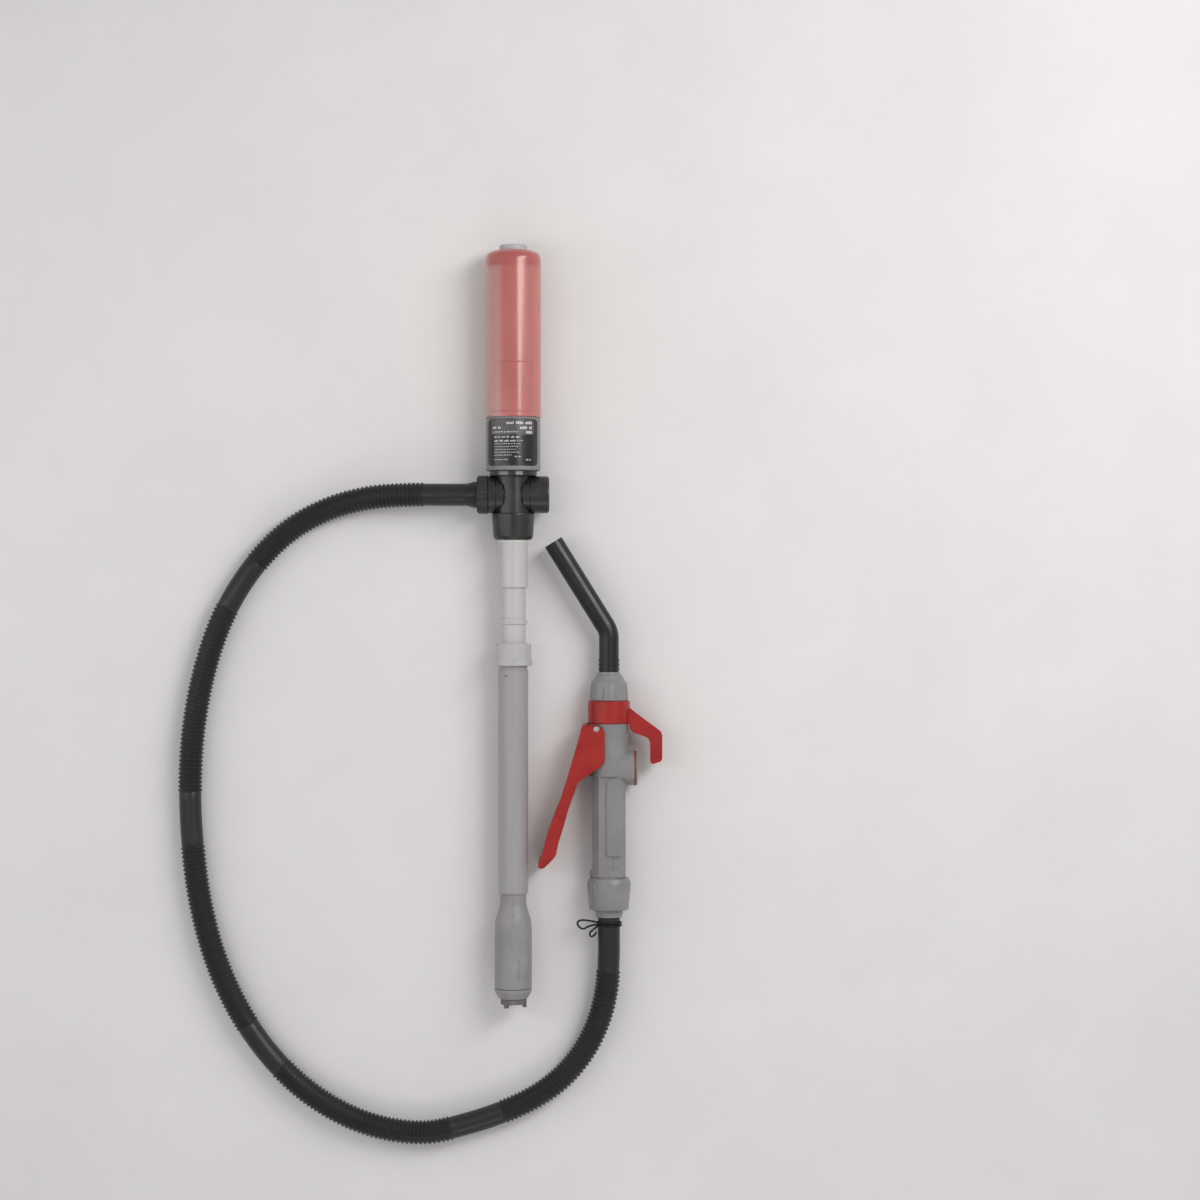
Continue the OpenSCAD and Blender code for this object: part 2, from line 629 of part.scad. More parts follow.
// Route of the hose: millimetres right of the pump's axis, down from the switch, above the floor.
hose_route = [
    [-28.2, 195.5, 21.8], [-54, 195.5, 21.6], [-84, 195.5, 18], [-116, 198, 13], [-148, 207, 10],
    [-179, 225, 9.6], [-206, 253, 9.6], [-228, 289, 9.6], [-243, 331, 9.6], [-252, 377, 9.6],
    [-255, 424, 9.6], [-253, 471, 9.6], [-247, 516, 9.6], [-236, 558, 9.6], [-219, 597, 9.6],
    [-196, 632, 9.6], [-168, 661, 9.6], [-136, 682, 9.6], [-103, 694, 9.6], [-69, 697.5, 9.6],
    [-36, 690.5, 9.6], [-5, 680, 9.6], [20, 667.5, 9.6], [40, 652, 9.8], [56, 632, 10.6],
    [67, 609, 12], [73, 585, 14], [74.8, 562, 16.2], [75, 544, 17.2], [75, 527, 17.25]];
hose_sides = 10;
rings_per_leg = 2;
// A point on a smooth curve through the route, leg i, at t from 0 to 1.
function route_at(i) = hose_route[max(0, min(len(hose_route) - 1, i))];
function smooth(a, b, c, d, t) =
    0.5 * (2 * b + (c - a) * t + (2 * a - 5 * b + 4 * c - d) * t * t + (3 * b - a - 3 * c + d) * t * t * t);
function hose_point(i, t) = smooth(route_at(i - 1), route_at(i), route_at(i + 1), route_at(i + 2), t);
hose_path = [
    for (i = [0:len(hose_route) - 2], k = [0:rings_per_leg - 1]) hose_point(i, k / rings_per_leg),
    hose_route[len(hose_route) - 1]];
hose_last = len(hose_path) - 1;
hose_split = 34;              // ring where the still curve ends
function unit(v) = v / norm(v);
function heading(i) = i == 0 ? [-1, 0, 0] : i == hose_last ? [0, -1, 0]
    : unit(hose_path[i + 1] - hose_path[i - 1]);
function hose_radius(i) = i < 3 || i > hose_last - 4 ? cuff_d / 2 : hose_d / 2;
function hose_ring(i) = let (h = heading(i), side = unit(cross(h, [0, 0, 1])), up = cross(side, h))
    [for (k = [0:hose_sides - 1]) let (a = k * 360 / hose_sides)
        hose_path[i] + hose_radius(i) * (cos(a) * side + sin(a) * up)];
// The hose from ring a to ring b.
module hose_length(a, b) {
    rings = [for (i = [a:b]) each hose_ring(i)];
    walls = [for (i = [0:b - a - 1], k = [0:hose_sides - 1]) let (n = (k + 1) % hose_sides)
        [i * hose_sides + k, i * hose_sides + n, (i + 1) * hose_sides + n, (i + 1) * hose_sides + k]];
    first = [for (k = [hose_sides - 1:-1:0]) k];
    last = [for (k = [0:hose_sides - 1]) (b - a) * hose_sides + k];
    color("#1a1819") translate([pump_x, top_y, 0]) mirror([0, 1, 0])
        polyhedron(rings, concat(walls, [first, last]));
}
// The long curve on the left, which holds still.
module discharge_hose() { hose_length(0, hose_split); }
// The stretch below the feet up to the nozzle, which the extending tube pushes along.
module hose_return() { hose_length(hose_split, hose_last); }

lower_case();
case_label();
battery_tray();
battery_upper();
battery_lower();
tray_spring();
return_strip();
cover_seal();
neck_ring();
head_lock_nut();
pump_head();
lead_gland();
port_ring();
hose_nut();
hose_barb();
port_cap();
pump_seals();
tube_collar();
tube_washer();
tube_sleeve();
inner_tube();
stop_ring();
guide_ring();
motor_cable();
spout();
spout_nut();
nozzle_seals();
hook_collar();
nozzle_body();
front_panel();
pivot_pin();
side_cap();
side_cap_ring();
inlet_nut();
hose_ferrule();
nozzle_barb();
hose_clamp();
discharge_hose();
hose_return();
battery_cover();
switch_carrier();
top_contact();
carrier_screws();
switch_button();
button_spring();
lower_tube();
grip_ring();
motor_housing();
housing_base();
strainer();
motor_can();
motor_magnets();
shaft_seal();
lock_collar();
motor_shaft();
impeller();
trigger();
valve_stem();
valve_spring();
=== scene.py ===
# Battery fuel transfer pump with hose and trigger nozzle, laid flat on a pale table top.
import json
import math
import random
import bmesh
import bpy
from mathutils import Matrix, Vector


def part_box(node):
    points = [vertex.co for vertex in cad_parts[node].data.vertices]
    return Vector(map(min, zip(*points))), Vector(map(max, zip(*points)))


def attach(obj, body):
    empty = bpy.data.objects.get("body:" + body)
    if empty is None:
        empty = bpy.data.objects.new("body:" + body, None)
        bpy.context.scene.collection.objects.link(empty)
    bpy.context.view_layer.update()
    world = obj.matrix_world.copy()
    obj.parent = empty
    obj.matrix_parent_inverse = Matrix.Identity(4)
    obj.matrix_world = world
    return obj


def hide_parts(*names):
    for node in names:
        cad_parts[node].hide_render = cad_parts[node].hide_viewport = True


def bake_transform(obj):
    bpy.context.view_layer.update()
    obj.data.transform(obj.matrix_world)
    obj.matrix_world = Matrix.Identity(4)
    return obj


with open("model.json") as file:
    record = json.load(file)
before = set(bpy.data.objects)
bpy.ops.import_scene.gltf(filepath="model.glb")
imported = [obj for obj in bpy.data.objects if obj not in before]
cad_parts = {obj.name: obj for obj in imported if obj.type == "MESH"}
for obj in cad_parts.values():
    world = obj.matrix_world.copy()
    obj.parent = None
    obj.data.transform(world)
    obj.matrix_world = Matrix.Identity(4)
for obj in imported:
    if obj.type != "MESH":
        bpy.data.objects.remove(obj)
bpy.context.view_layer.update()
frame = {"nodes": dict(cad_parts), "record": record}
mm = 0.001
seamGap = 0.004 * mm          # corners of a CAD mesh closer than this are one corner
print("stage: frame loaded,", len(frame["nodes"]), "nodes")

tubeLow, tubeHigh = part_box("lower_tube")
pumpX = (tubeLow.x + tubeHigh.x) / 2
caseLow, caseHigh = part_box("lower_case")
pumpZ = (caseLow.z + caseHigh.z) / 2
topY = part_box("switch_button")[1].y
nutLow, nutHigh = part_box("inlet_nut")
nozzleX = (nutLow.x + nutHigh.x) / 2
nozzleZ = (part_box("nozzle_body")[0].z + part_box("nozzle_body")[1].z) / 2


def axisFrame(x, z):
    # local X is right, Y is the front, Z runs down from the switch; lengths in millimetres
    return Matrix.Translation((x, topY, z)) @ Matrix.Rotation(math.radians(90), 4, "X") @ Matrix.Scale(mm, 4)


onPump = axisFrame(pumpX, pumpZ)
onNozzle = axisFrame(nozzleX, nozzleZ)

view = {                      # the camera looks straight down
    "scale": 950 * mm,        # width of the floor that the frame takes in
    "aim": (68, 278),         # right of the pump's axis, down from the switch
    "lens": 85,
    "sensor": 36,
}


def addCamera():
    data = bpy.data.cameras.new("camera")
    data.lens = view["lens"]
    data.sensor_width = view["sensor"]
    camera = bpy.data.objects.new("camera", data)
    bpy.context.scene.collection.objects.link(camera)
    distance = view["scale"] * view["lens"] / view["sensor"]
    camera.location = (pumpX + view["aim"][0] * mm, topY - view["aim"][1] * mm, distance)
    data.clip_end = 60
    bpy.context.scene.camera = camera


addCamera()


def newPiece(name, bm, body, material, replaced=(), sharp=38):
    mesh = bpy.data.meshes.new(name)
    bm.to_mesh(mesh)
    bm.free()
    for polygon in mesh.polygons:
        polygon.use_smooth = True
    mesh.set_sharp_from_angle(angle=math.radians(sharp))
    piece = bpy.data.objects.new(name, mesh)
    bpy.context.scene.collection.objects.link(piece)
    if material:
        mesh.materials.append(material)
    if body:
        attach(piece, body)
    if replaced:
        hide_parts(*replaced)
    return piece


def tidyMesh(bm, gap=0.0005):
    # for a mesh in millimetres: joins doubles, drops slivers and turns the faces outwards
    bmesh.ops.remove_doubles(bm, verts=bm.verts, dist=gap)
    bmesh.ops.dissolve_degenerate(bm, edges=bm.edges, dist=gap / 2)
    bmesh.ops.recalc_face_normals(bm, faces=bm.faces)


def bevelSharp(bm, width, angle=28, segments=2):
    sharp = [e for e in bm.edges if len(e.link_faces) == 2 and e.calc_face_angle(0) > math.radians(angle)]
    bmesh.ops.bevel(bm, geom=sharp, offset=width, offset_type="OFFSET", segments=segments, profile=0.5,
                    affect="EDGES", clamp_overlap=True, material=-1, loop_slide=True)


def spunPiece(outline, steps=96, closed=True):
    # outline is [radius, station] points in millimetres, turned about the station axis
    bm = bmesh.new()
    verts = [bm.verts.new((r, 0, s)) for r, s in outline]
    edges = [bm.edges.new(pair) for pair in zip(verts, verts[1:])]
    if closed:
        edges.append(bm.edges.new((verts[-1], verts[0])))
    bmesh.ops.spin(bm, geom=verts + edges, cent=(0, 0, 0), axis=(0, 0, 1), angle=math.tau, steps=steps,
                   use_merge=True, use_duplicate=False)
    tidyMesh(bm)
    return bm


def arcPoints(cx, cy, radius, start, stop, count):
    turns = [math.radians(start + (stop - start) * i / count) for i in range(count + 1)]
    return [(cx + radius * math.cos(turn), cy + radius * math.sin(turn)) for turn in turns]


def headings(points):
    spans = [(b - a).normalized() for a, b in zip(points, points[1:])]
    return [spans[0]] + [(a + b).normalized() for a, b in zip(spans, spans[1:])] + [spans[-1]]


def sweptWire(bm, points, radius, sides=10, loop=False):
    # one ring of vertices is extruded from point to point, turned with the path as it goes
    points = [Vector(p) for p in points]
    path = points + points[:1] if loop else points
    along = headings(path)
    if loop:
        along[0] = along[-1] = (along[0] + along[-1]).normalized()
    start = Matrix.Translation(path[0]) @ along[0].to_track_quat("Z", "Y").to_matrix().to_4x4()
    made = bmesh.ops.create_circle(bm, cap_ends=False, radius=radius, segments=sides, matrix=start)
    ringVerts = made["verts"]
    ringEdges = list({e for v in ringVerts for e in v.link_edges})
    firstEdges = list(ringEdges)
    for i in range(1, len(path)):
        out = bmesh.ops.extrude_edge_only(bm, edges=ringEdges)["geom"]
        ringVerts = [g for g in out if isinstance(g, bmesh.types.BMVert)]
        ringEdges = [g for g in out if isinstance(g, bmesh.types.BMEdge)]
        turn = along[i - 1].rotation_difference(along[i]).to_matrix().to_4x4()
        move = Matrix.Translation(path[i]) @ turn @ Matrix.Translation(-path[i - 1])
        bmesh.ops.transform(bm, matrix=move, verts=ringVerts)
    if loop:
        bmesh.ops.remove_doubles(bm, verts=bm.verts, dist=radius * 0.25)
    else:
        bmesh.ops.holes_fill(bm, edges=firstEdges + ringEdges, sides=sides)
    bmesh.ops.recalc_face_normals(bm, faces=bm.faces)


def linearColour(code):
    channels = [int(code[i:i + 2], 16) / 255 for i in (1, 3, 5)]
    return [c / 12.92 if c <= 0.04045 else ((c + 0.055) / 1.055) ** 2.4 for c in channels] + [1]


def node(tree, kind, inputs=None, **settings):
    made = tree.nodes.new("ShaderNode" + kind)
    for key, value in settings.items():
        setattr(made, key, value)
    for key, value in (inputs or {}).items():
        if isinstance(value, bpy.types.NodeSocket):
            tree.links.new(value, made.inputs[key])
        else:
            made.inputs[key].default_value = value
    return made


def perMm(size):
    # noise scale that gives features of this many millimetres on metre coordinates
    return 1000 / size


def startMaterial(name, **fixed):
    material = bpy.data.materials.new(name)
    material.use_nodes = True
    tree = material.node_tree
    shader = tree.nodes["Principled BSDF"]
    for key, value in fixed.items():
        shader.inputs[key.replace("_", " ")].default_value = value
    place = node(tree, "TexCoord").outputs["Object"]
    return material, tree, shader, place


def ramp(tree, factor, low, high):
    return node(tree, "MapRange", {"Value": factor, "From Min": low[0], "From Max": high[0],
                                   "To Min": low[1], "To Max": high[1]}).outputs["Result"]


def mixColour(tree, factor, first, second, mode="MIX"):
    mix = node(tree, "Mix", {"Factor": factor}, data_type="RGBA", blend_type=mode)
    for socket, value in ((mix.inputs[6], first), (mix.inputs[7], second)):
        if isinstance(value, bpy.types.NodeSocket):
            tree.links.new(value, socket)
        else:
            socket.default_value = value
    return mix.outputs[2]


rubRoughness = 0.22           # how much duller a full rub is than the skin round it


def plastic(name, look):
    # moulded or extruded plastic: base colour with slow mottle, fine grain in the bump, faint rubs
    fixed = {"IOR": look.get("ior", 1.49), "Specular_IOR_Level": look.get("specular", 0.5)}
    material, tree, shader, place = startMaterial(name, **fixed)
    if "stretch" in look:
        place = node(tree, "Mapping", {"Vector": place, "Scale": look["stretch"]}).outputs["Vector"]
    cloud = node(tree, "TexNoise", {"Vector": place, "Scale": perMm(look.get("mottleMm", 22)), "Detail": 4,
                                    "Roughness": 0.6}).outputs["Fac"]
    grain = node(tree, "TexNoise", {"Vector": place, "Scale": perMm(look["grainMm"]), "Detail": 3,
                                    "Roughness": 0.55}).outputs["Fac"]
    rub = node(tree, "TexNoise", {"Vector": place, "Scale": perMm(look.get("rubMm", 7)), "Detail": 8,
                                  "Roughness": 0.75, "Distortion": 0.8}).outputs["Fac"]
    rubbed = ramp(tree, rub, (0.64, 0), (0.82, look.get("rub", 0.35)))
    colour = mixColour(tree, ramp(tree, cloud, (0.3, 0), (0.7, 1)), linearColour(look["dark"]),
                       linearColour(look["light"]))
    colour = mixColour(tree, rubbed, colour, linearColour(look.get("worn", look["light"])))
    tree.links.new(colour, shader.inputs["Base Color"])
    roughBase = ramp(tree, cloud, (0.25, look["rough"][0]), (0.75, look["rough"][1]))
    roughness = node(tree, "Math", {0: rubbed, 1: rubRoughness, 2: roughBase},
                     operation="MULTIPLY_ADD").outputs["Value"]
    tree.links.new(roughness, shader.inputs["Roughness"])
    bump = node(tree, "Bump", {"Height": grain, "Strength": look.get("bump", 0.35),
                               "Distance": look.get("bumpMm", 0.05) * mm})
    tree.links.new(bump.outputs["Normal"], shader.inputs["Normal"])
    return material, tree, shader


coverLightBands = {                 # each band fades between two places in millimetres, up to its strength
    # painted light: the paler left flank stands for light shining through the cover
    "flankFrom": -12, "flankTo": -7, "flank": 0.75,      # paler left flank, from the pump's axis
    # painted highlight: the slightly paler right flank stands for a softbox reflection
    "rightFrom": 6, "rightTo": 11, "right": 0.35,        # slightly paler right flank
    "crownFrom": 19, "crownTo": 16, "crown": 0.8,        # deeper crown, down from the switch
}


def clearRedPolypropylene():
    # tinted, injection-moulded polypropylene: glossy skin, milky body that lets the tray show;
    # painted light pales the left flank, a painted highlight pales the right flank, and the crown is deeper
    # red
    look = {"dark": "#ee8f8a", "light": "#f29a95", "grainMm": 1.6, "rough": (0.2, 0.28), "rub": 0.04,
            "worn": "#f4b5b0", "mottleMm": 60, "bump": 0.05, "bumpMm": 0.03}
    material, tree, shader = plastic("clearRedPolypropylene", look)
    place = node(tree, "TexCoord").outputs["Object"]
    axes = node(tree, "SeparateXYZ", {0: place}).outputs
    colour = shader.inputs["Base Color"].links[0].from_socket
    lightBands = coverLightBands
    # painted light: the left flank is paled as if lit through the cover
    flank = ramp(tree, axes["X"], (pumpX + lightBands["flankTo"] * mm, lightBands["flank"]),
                 (pumpX + lightBands["flankFrom"] * mm, 0))
    leftFlankLight = node(tree, "Math", {0: lightBands["flank"], 1: flank}, operation="SUBTRACT").outputs["Value"]
    colour = mixColour(tree, leftFlankLight, colour, linearColour("#f7cfca"))
    # painted highlight on the right flank
    right = ramp(tree, axes["X"], (pumpX + lightBands["rightFrom"] * mm, 0),
                 (pumpX + lightBands["rightTo"] * mm, lightBands["right"]))
    colour = mixColour(tree, right, colour, linearColour("#f3b3ae"))
    crown = ramp(tree, axes["Y"], (topY - lightBands["crownFrom"] * mm, 0),
                 (topY - lightBands["crownTo"] * mm, lightBands["crown"]))
    colour = mixColour(tree, crown, colour, linearColour("#e8807d"))
    tree.links.new(colour, shader.inputs["Base Color"])
    shader.inputs["Transmission Weight"].default_value = 0.6
    shader.inputs["Coat Weight"].default_value = 0.3
    shader.inputs["Coat Roughness"].default_value = 0.14
    return material


def redAcetal():
    # deep red moulded acetal: even colour, soft gloss, slight flow mottle
    look = {"dark": "#8d1512", "light": "#a81f1a", "grainMm": 0.9, "rough": (0.28, 0.4), "rub": 0.3,
            "worn": "#b9433c", "mottleMm": 18, "bump": 0.25, "bumpMm": 0.03, "ior": 1.48}
    return plastic("redAcetal", look)[0]


def greyPolypropylene():
    # spark-textured grey polypropylene of the battery case
    look = {"dark": "#777576", "light": "#868485", "grainMm": 0.6, "rough": (0.42, 0.55), "rub": 0.3,
            "worn": "#a3a1a1", "mottleMm": 24, "bump": 0.5, "bumpMm": 0.06}
    return plastic("greyPolypropylene", look)[0]


def greyAcetal():
    # grey moulded acetal of the nozzle: smoother, with a waxy gloss
    look = {"dark": "#7f7d7e", "light": "#8c8a8b", "grainMm": 0.8, "rough": (0.3, 0.42), "rub": 0.3,
            "worn": "#a3a1a1", "mottleMm": 26, "bump": 0.35, "bumpMm": 0.05, "ior": 1.48}
    return plastic("greyAcetal", look)[0]


def blackGlassFilled():
    # glass-filled polypropylene: near black with a warm cast, satin, faintly streaky
    look = {"dark": "#211e1f", "light": "#2f2c2d", "grainMm": 0.5, "rough": (0.24, 0.36), "rub": 0.35,
            "worn": "#4a4647", "mottleMm": 14, "bump": 0.5, "bumpMm": 0.05}
    return plastic("blackGlassFilled", look)[0]


def paleExtrusion():
    # extruded light grey polypropylene tube: die lines run along its length
    look = {"dark": "#bab7b8", "light": "#c6c3c4", "grainMm": 0.5, "rough": (0.3, 0.42), "rub": 0.3,
            "worn": "#dddbdb", "mottleMm": 16, "bump": 0.4, "bumpMm": 0.03, "stretch": (1, 0.06, 1)}
    return plastic("paleExtrusion", look)[0]


def greyExtrusion():
    # extruded mid grey tube, rubbed by the lock collar
    look = {"dark": "#979495", "light": "#a4a1a2", "grainMm": 0.5, "rough": (0.32, 0.44), "rub": 0.4,
            "worn": "#c4c2c2", "mottleMm": 16, "bump": 0.4, "bumpMm": 0.03, "stretch": (1, 0.06, 1)}
    return plastic("greyExtrusion", look)[0]


def paleMoulding():
    # light grey moulded rings, collar and switch
    look = {"dark": "#b1aeaf", "light": "#bdbabb", "grainMm": 0.6, "rough": (0.36, 0.5), "rub": 0.35,
            "worn": "#dedcdc", "mottleMm": 12, "bump": 0.4, "bumpMm": 0.05}
    return plastic("paleMoulding", look)[0]


def housingPolypropylene():
    # motor housing: satin grey, a little darker than the tube
    look = {"dark": "#898687", "light": "#959293", "grainMm": 0.6, "rough": (0.36, 0.5), "rub": 0.4,
            "worn": "#b6b4b4", "mottleMm": 18, "bump": 0.45, "bumpMm": 0.05}
    return plastic("housingPolypropylene", look)[0]


def strainerPolypropylene():
    # dull dark grey moulding that sits in the fuel
    look = {"dark": "#5d5a5b", "light": "#75716f", "grainMm": 0.5, "rough": (0.5, 0.65), "rub": 0.3,
            "worn": "#8d8a8a", "mottleMm": 6, "bump": 0.5, "bumpMm": 0.06}
    return plastic("strainerPolypropylene", look)[0]


def blackPolyethylene():
    # spout: smooth black polyethylene with a waxy sheen
    look = {"dark": "#0f0d0e", "light": "#181516", "grainMm": 0.7, "rough": (0.28, 0.42), "rub": 0.5,
            "worn": "#4a4647", "mottleMm": 14, "bump": 0.3, "bumpMm": 0.04}
    return plastic("blackPolyethylene", look)[0]


def hosePolyethylene():
    # blow-moulded corrugated hose: black, satin on the crests, dust in the grooves
    material, tree, shader = plastic("hosePolyethylene", {
        "dark": "#141213", "light": "#1e1b1c", "grainMm": 0.8, "rough": (0.34, 0.5), "rub": 0.45,
        "worn": "#3a3738", "mottleMm": 30, "bump": 0.35, "bumpMm": 0.05})
    crest = node(tree, "Attribute", attribute_name="crest").outputs["Fac"]
    colour = shader.inputs["Base Color"].links[0].from_socket
    groove = ramp(tree, crest, (0, 0.55), (0.5, 0))
    tree.links.new(mixColour(tree, groove, colour, linearColour("#2c2a29")), shader.inputs["Base Color"])
    return material


def naturalAcetal():
    # uncoloured acetal: milky white, slightly waxy
    look = {"dark": "#d2cfca", "light": "#dedcd8", "grainMm": 0.7, "rough": (0.3, 0.42), "rub": 0.2,
            "worn": "#f2f1ee", "mottleMm": 8, "bump": 0.25, "bumpMm": 0.03}
    material, tree, shader = plastic("naturalAcetal", look)
    shader.inputs["Subsurface Weight"].default_value = 0.08
    shader.inputs["Subsurface Scale"].default_value = 0.002
    return material


def trayPolypropylene():
    # pale tray that shows through the tinted cover
    look = {"dark": "#d8d2cc", "light": "#e6e1dc", "grainMm": 0.7, "rough": (0.45, 0.6), "rub": 0.2,
            "worn": "#efece8", "mottleMm": 15, "bump": 0.3, "bumpMm": 0.05}
    return plastic("trayPolypropylene", look)[0]


def carrierMoulding():
    look = {"dark": "#a52b30", "light": "#b5383b", "grainMm": 0.7, "rough": (0.45, 0.6), "rub": 0.2,
            "worn": "#9c4a48", "mottleMm": 12, "bump": 0.3, "bumpMm": 0.05}
    return plastic("carrierMoulding", look)[0]   # dark red carrier under the cover's crown


def labelFilm():
    # printed black film: very smooth, edge to edge gloss
    look = {"dark": "#161415", "light": "#211f20", "grainMm": 2.5, "rough": (0.22, 0.32), "rub": 0.5,
            "worn": "#383536", "mottleMm": 30, "bump": 0.08, "bumpMm": 0.03, "specular": 0.55}
    return plastic("labelFilm", look)[0]


def bandFilm():
    look = {"dark": "#4b4849", "light": "#575455", "grainMm": 2.5, "rough": (0.25, 0.35), "rub": 0.4,
            "worn": "#6a6768", "mottleMm": 30, "bump": 0.08, "bumpMm": 0.03}
    return plastic("bandFilm", look)[0]          # the label's dark grey band


def printedInk():
    look = {"dark": "#cfcdce", "light": "#dddbdc", "grainMm": 0.4, "rough": (0.4, 0.5), "rub": 0.4,
            "worn": "#a9a7a8", "mottleMm": 5, "bump": 0.15, "bumpMm": 0.01}
    return plastic("printedInk", look)[0]        # pale screen-printed ink


def nitrileRubber():
    look = {"dark": "#161617", "light": "#222224", "grainMm": 0.4, "rough": (0.6, 0.75), "rub": 0.3,
            "worn": "#343436", "mottleMm": 5, "bump": 0.4, "bumpMm": 0.04, "specular": 0.3}
    return plastic("nitrileRubber", look)[0]     # seals and cable jacket


def cellJacket():
    # shrink-sleeved battery: red-orange sleeve
    look = {"dark": "#b03b33", "light": "#c14a3e", "grainMm": 1.2, "rough": (0.3, 0.4), "rub": 0.3,
            "worn": "#cf7a6e", "mottleMm": 20, "bump": 0.15, "bumpMm": 0.03}
    return plastic("cellJacket", look)[0]


def metal(name, look):
    # bare metal: brushed or drawn lines as a stretched noise in roughness and bump
    material, tree, shader, place = startMaterial(name, Metallic=1.0)
    lines = node(tree, "Mapping", {"Vector": place, "Scale": look["stretch"]}).outputs["Vector"]
    fine = node(tree, "TexNoise", {"Vector": lines, "Scale": perMm(look["lineMm"]), "Detail": 5,
                                   "Roughness": 0.6}).outputs["Fac"]
    stain = node(tree, "TexNoise", {"Vector": place, "Scale": perMm(look["stainMm"]),
                                    "Detail": 4}).outputs["Fac"]
    colour = mixColour(tree, ramp(tree, stain, (0.35, 0), (0.7, 1)), linearColour(look["light"]),
                       linearColour(look["dark"]))
    tree.links.new(colour, shader.inputs["Base Color"])
    roughness = ramp(tree, fine, (0.3, look["rough"][0]), (0.7, look["rough"][1]))
    tree.links.new(roughness, shader.inputs["Roughness"])
    bump = node(tree, "Bump", {"Height": fine, "Strength": 0.25, "Distance": look["bumpMm"] * mm})
    tree.links.new(bump.outputs["Normal"], shader.inputs["Normal"])
    return material


def platedSteel():
    # nickel-plated springs, motor can and cell ends
    return metal("platedSteel", {"light": "#c9c7c2", "dark": "#9d9a93", "stretch": (1, 0.2, 1),
                                 "lineMm": 0.4, "stainMm": 6, "rough": (0.22, 0.36), "bumpMm": 0.01})


def turnedSteel():
    # turned pins and screws: fine rings
    return metal("turnedSteel", {"light": "#d3d1ce", "dark": "#aaa7a3", "stretch": (1, 1, 6), "lineMm": 0.3,
                                 "stainMm": 3, "rough": (0.25, 0.4), "bumpMm": 0.01})


def rolledBrass():
    # contacts and barbs
    return metal("rolledBrass", {"light": "#d8b566", "dark": "#a9803a", "stretch": (1, 0.2, 1),
                                 "lineMm": 0.4, "stainMm": 5, "rough": (0.25, 0.4), "bumpMm": 0.01})


def blackenedWire():
    # blackened spring wire of the hose clip
    return metal("blackenedWire", {"light": "#3c3b3d", "dark": "#232224", "stretch": (1, 1, 1),
                                   "lineMm": 0.5, "stainMm": 3, "rough": (0.35, 0.5), "bumpMm": 0.02})


def ferrite():
    # pressed ferrite magnets: dull charcoal
    return metal("ferrite", {"light": "#55534f", "dark": "#3b3a37", "stretch": (1, 1, 1), "lineMm": 0.3,
                             "stainMm": 4, "rough": (0.6, 0.75), "bumpMm": 0.03})


def backdropPaper():
    # seamless paper: matt, very faint fibre
    look = {"dark": "#dedcdb", "light": "#e3e1e0", "grainMm": 1.2, "rough": (0.8, 0.9), "rub": 0.0,
            "mottleMm": 120, "bump": 0.2, "bumpMm": 0.05, "specular": 0.2}
    return plastic("backdropPaper", look)[0]


clearRed = clearRedPolypropylene()
red = redAcetal()
caseGrey = greyPolypropylene()
nozzleGrey = greyAcetal()
black = blackGlassFilled()
pale = paleExtrusion()
midGrey = greyExtrusion()
paleMould = paleMoulding()
housing = housingPolypropylene()
strainerGrey = strainerPolypropylene()
spoutBlack = blackPolyethylene()
hoseBlack = hosePolyethylene()
white = naturalAcetal()
trayPale = trayPolypropylene()
carrierRed = carrierMoulding()
film = labelFilm()
bandGrey = bandFilm()
inkPale = printedInk()
rubber = nitrileRubber()
jacket = cellJacket()
plated = platedSteel()
steel = turnedSteel()
brass = rolledBrass()
wireBlack = blackenedWire()
magnet = ferrite()
floorPaper = backdropPaper()
print("stage: materials made")


def smoothPoint(route, i, t):
    # a smooth curve through the route's points; leg i, t from 0 to 1
    a, b, c, d = (route[max(0, min(len(route) - 1, k))] for k in (i - 1, i, i + 1, i + 2))
    return 0.5 * (2 * b + (c - a) * t + (2 * a - 5 * b + 4 * c - d) * t ** 2
                  + (3 * b - a - 3 * c + d) * t ** 3)


hose = {                          # lengths in millimetres
    "statedLength": 1006,         # 3.3 feet
    "ribRun": 150,                # each ribbed stretch; smooth cuffs lie between them
    "ribRuns": 5,
    "pitch": 3.3,                 # from rib to rib
    "crest": 9.5,
    "valley": 8.3,
    "cuff": 8.65,
    "flare": 10.2,                # the cuff's mouth at the pump
    "flareRun": 9,
    "soft": 0.22,                 # how far the crest's corner drops
    "cuffGap": 0.8,               # from a cuff's end to the first rib
    "cuffSteps": 7,
    "sides": 28,
    "stepsPerLeg": 24,
    # where the extending tube would push the hose along: still before the first point and wholly moved past
    # the second, the slant keeping the change on runs that lie along the tube, so the hose stays round
    "still": (75, 550),
    "pushed": (23.9, 662.4),
    # millimetres right of the pump's axis, down from the switch, above the floor
    "route": [
        (-28.2, 195.5, 21.8), (-54, 195.5, 21.6), (-84, 195.5, 18), (-116, 198, 13), (-148, 207, 10),
        (-179, 225, 9.6), (-206, 253, 9.6), (-228, 289, 9.6), (-243, 331, 9.6), (-252, 377, 9.6),
        (-255, 424, 9.6), (-253, 471, 9.6), (-247, 516, 9.6), (-236, 558, 9.6), (-219, 597, 9.6),
        (-196, 632, 9.6), (-168, 661, 9.6), (-136, 682, 9.6), (-103, 694, 9.6), (-69, 697.5, 9.6),
        (-36, 690.5, 9.6), (-5, 680, 9.6), (20, 667.5, 9.6), (40, 652, 9.8), (56, 632, 10.6),
        (67, 609, 12), (73, 585, 14), (74.8, 562, 16.2), (75, 544, 17.2), (75, 527, 17.25)],
}


